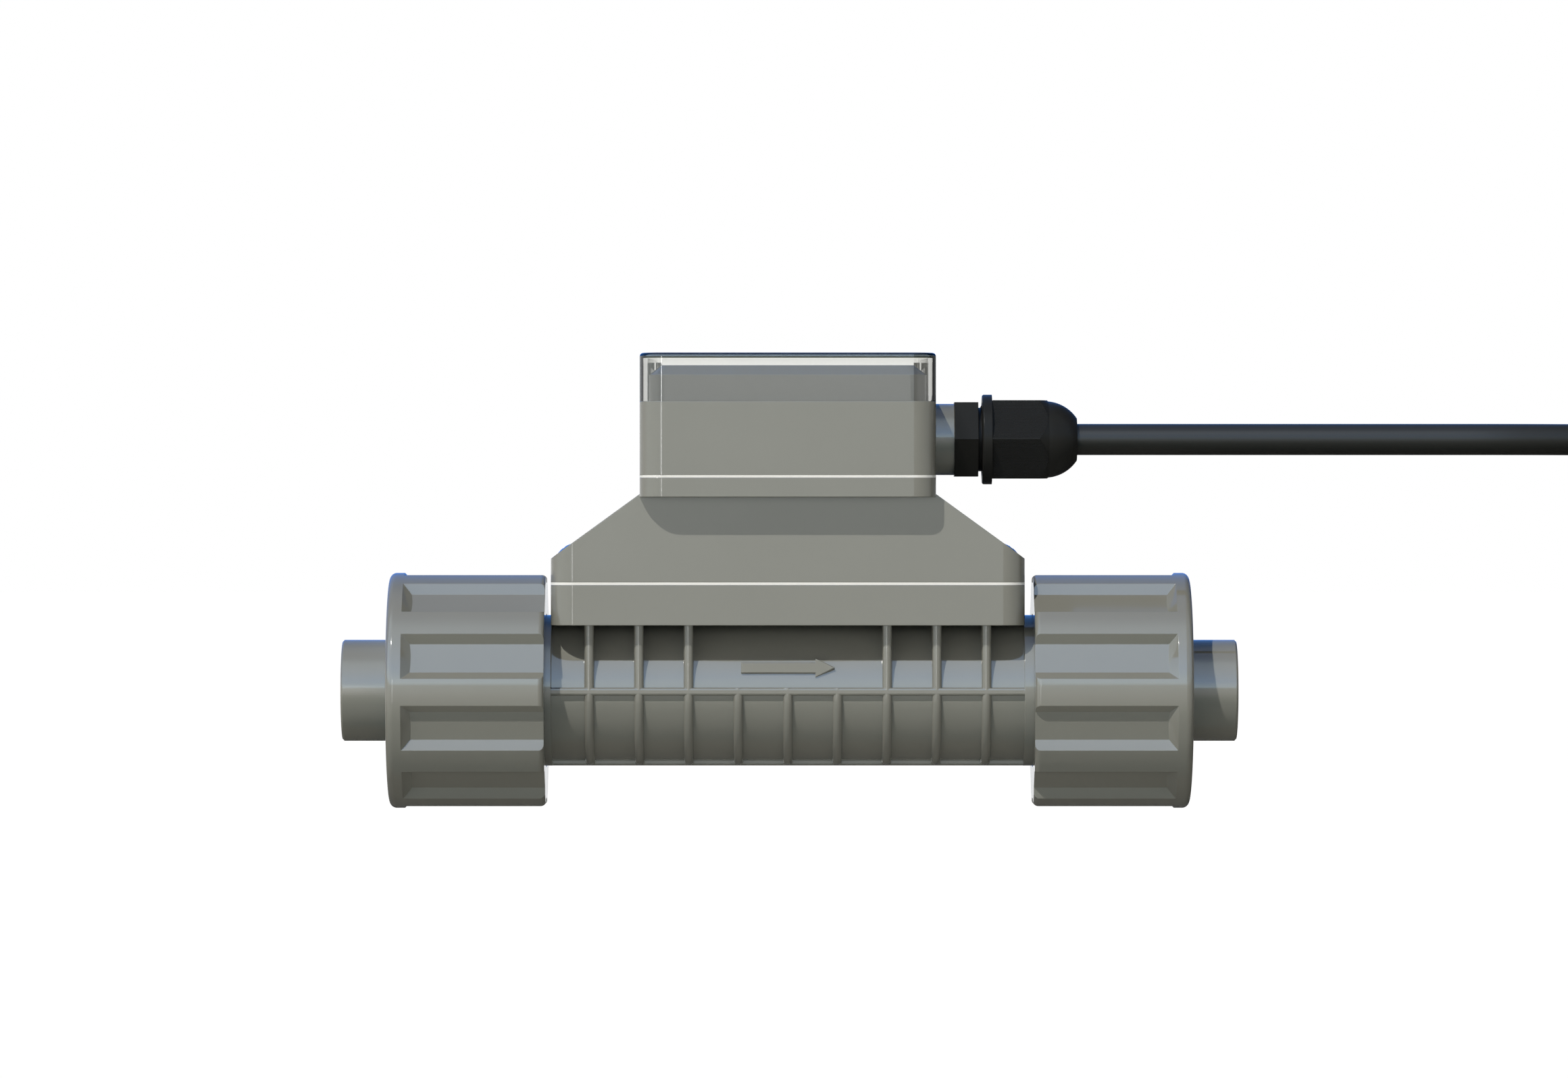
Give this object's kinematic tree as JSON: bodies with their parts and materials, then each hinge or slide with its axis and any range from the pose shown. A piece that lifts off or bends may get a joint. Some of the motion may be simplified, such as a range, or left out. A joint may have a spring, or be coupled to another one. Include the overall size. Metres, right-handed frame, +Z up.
{
  "type": "inline ultrasonic flow meter",
  "caption": "Clamp-free ultrasonic flow meter for a small plastic pipe: a ribbed measuring tube with union ends, a sensor housing, a display head under a clear cover and a gland with its cable.",
  "frame": {"origin": "middle of the inlet socket's mouth, on the pipe axis", "axes": "+X the way the liquid flows, along the pipe axis; +Z up through the display head; -Y the front, with the flow arrow"},
  "size_m": [0.4761, 0.1059, 0.1493],
  "materials": {
    "tube_plastic": "moulded grey rigid plastic, satin",
    "union_plastic": "moulded grey rigid plastic, satin",
    "white_seal": "flat white silicone sheet",
    "housing_plastic": "moulded warm grey plastic, fine matt",
    "block_plastic": "moulded grey plastic, fine matt",
    "stainless": "polished stainless steel",
    "window": "clear window with a faint grey tint",
    "clear_plastic": "clear moulded polycarbonate",
    "display": "grey-green display glass",
    "circuit_board": "green solder resist",
    "terminal_plastic": "green nylon",
    "transducer_shell": "dark engineering plastic",
    "seal_rubber": "black seal rubber",
    "cable_sheath": "black smooth cable sheath",
    "core_sheath": "coloured core insulation",
    "ferrule_metal": "tinned crimp sleeves",
    "gland_nylon": "black nylon",
    "tie_nylon": "black nylon tie",
    "key_plastic": "grey key caps"
  },
  "bodies": {
    "meter": {"measuring_tube": "tube_plastic", "saddle_gasket": "white_seal", "sensor_housing": "housing_plastic", "shoulder_screws": "stainless", "head_gasket": "white_seal", "head_housing": "housing_plastic", "head_screws": "stainless", "display_block": "block_plastic", "block_screws": "stainless", "display_window": "window", "lcd_module": "display", "display_board": "circuit_board", "main_board": "circuit_board", "terminal_block": "terminal_plastic", "terminal_wires": "core_sheath", "upstream_transducer": "transducer_shell", "downstream_transducer": "transducer_shell", "upstream_transducer_o_ring": "seal_rubber", "downstream_transducer_o_ring": "seal_rubber", "upstream_transducer_lead": "cable_sheath", "downstream_transducer_lead": "cable_sheath", "gland_body": "gland_nylon", "gland_o_ring": "seal_rubber", "inlet_o_ring": "seal_rubber", "outlet_o_ring": "seal_rubber", "cable": "cable_sheath", "cable_coil": "cable_sheath", "cable_tail": "cable_sheath", "cable_ties": "tie_nylon", "cable_cores": "core_sheath", "core_ferrules": "ferrule_metal"},
    "inlet_end": {"inlet_union_end": "union_plastic"},
    "inlet_nut": {"inlet_union_nut": "union_plastic"},
    "outlet_end": {"outlet_union_end": "union_plastic"},
    "outlet_nut": {"outlet_union_nut": "union_plastic"},
    "seal": {"gland_seal": "seal_rubber"},
    "cap_nut": {"gland_cap_nut": "gland_nylon"},
    "cover": {"clear_cover": "clear_plastic"},
    "left_button": {"left_key": "key_plastic"},
    "middle_button": {"middle_key": "key_plastic"},
    "right_button": {"right_key": "key_plastic"}
  },
  "joints": [
    {"name": "inlet_release", "type": "slide", "parent": "meter", "child": "inlet_end", "axis": [-1, 0, 0], "range_m": [0, 0.01155]},
    {"name": "inlet_nut_turn", "type": "hinge", "parent": "inlet_end", "child": "inlet_nut", "pos_m": [0.0354, 0, 0], "axis": [-1, 0, 0], "range_deg": [0, 1800]},
    {"name": "outlet_release", "type": "slide", "parent": "meter", "child": "outlet_end", "axis": [1, 0, 0], "range_m": [0, 0.01155]},
    {"name": "outlet_nut_turn", "type": "hinge", "parent": "outlet_end", "child": "outlet_nut", "pos_m": [0.21655, 0, 0], "axis": [1, 0, 0], "range_deg": [0, 1800]},
    {"name": "seal_release", "type": "slide", "parent": "meter", "child": "seal", "axis": [1, 0, 0], "range_m": [0, 0.00451]},
    {"name": "cap_nut_turn", "type": "hinge", "parent": "seal", "child": "cap_nut", "pos_m": [0.194, 0, 0.07078], "axis": [1, 0, 0], "range_deg": [0, 1080]},
    {"name": "cover_lift", "type": "slide", "parent": "meter", "child": "cover", "axis": [0, 0, 1], "range_m": [0, 0.025]},
    {"name": "left_press", "type": "slide", "parent": "meter", "child": "left_button", "axis": [0, 0, -1], "range_m": [0, 0.0005], "stiffness_N_per_m": 600, "springref_m": -0.001},
    {"name": "middle_press", "type": "slide", "parent": "meter", "child": "middle_button", "axis": [0, 0, -1], "range_m": [0, 0.0005], "stiffness_N_per_m": 600, "springref_m": -0.001},
    {"name": "right_press", "type": "slide", "parent": "meter", "child": "right_button", "axis": [0, 0, -1], "range_m": [0, 0.0005], "stiffness_N_per_m": 600, "springref_m": -0.001}
  ],
  "couplings": [
    {"joint": "inlet_release", "follows": "inlet_nut_turn", "m_per_rad": 0.0003675},
    {"joint": "outlet_release", "follows": "outlet_nut_turn", "m_per_rad": 0.0003675},
    {"joint": "seal_release", "follows": "cap_nut_turn", "m_per_rad": 0.00023873}
  ]
}
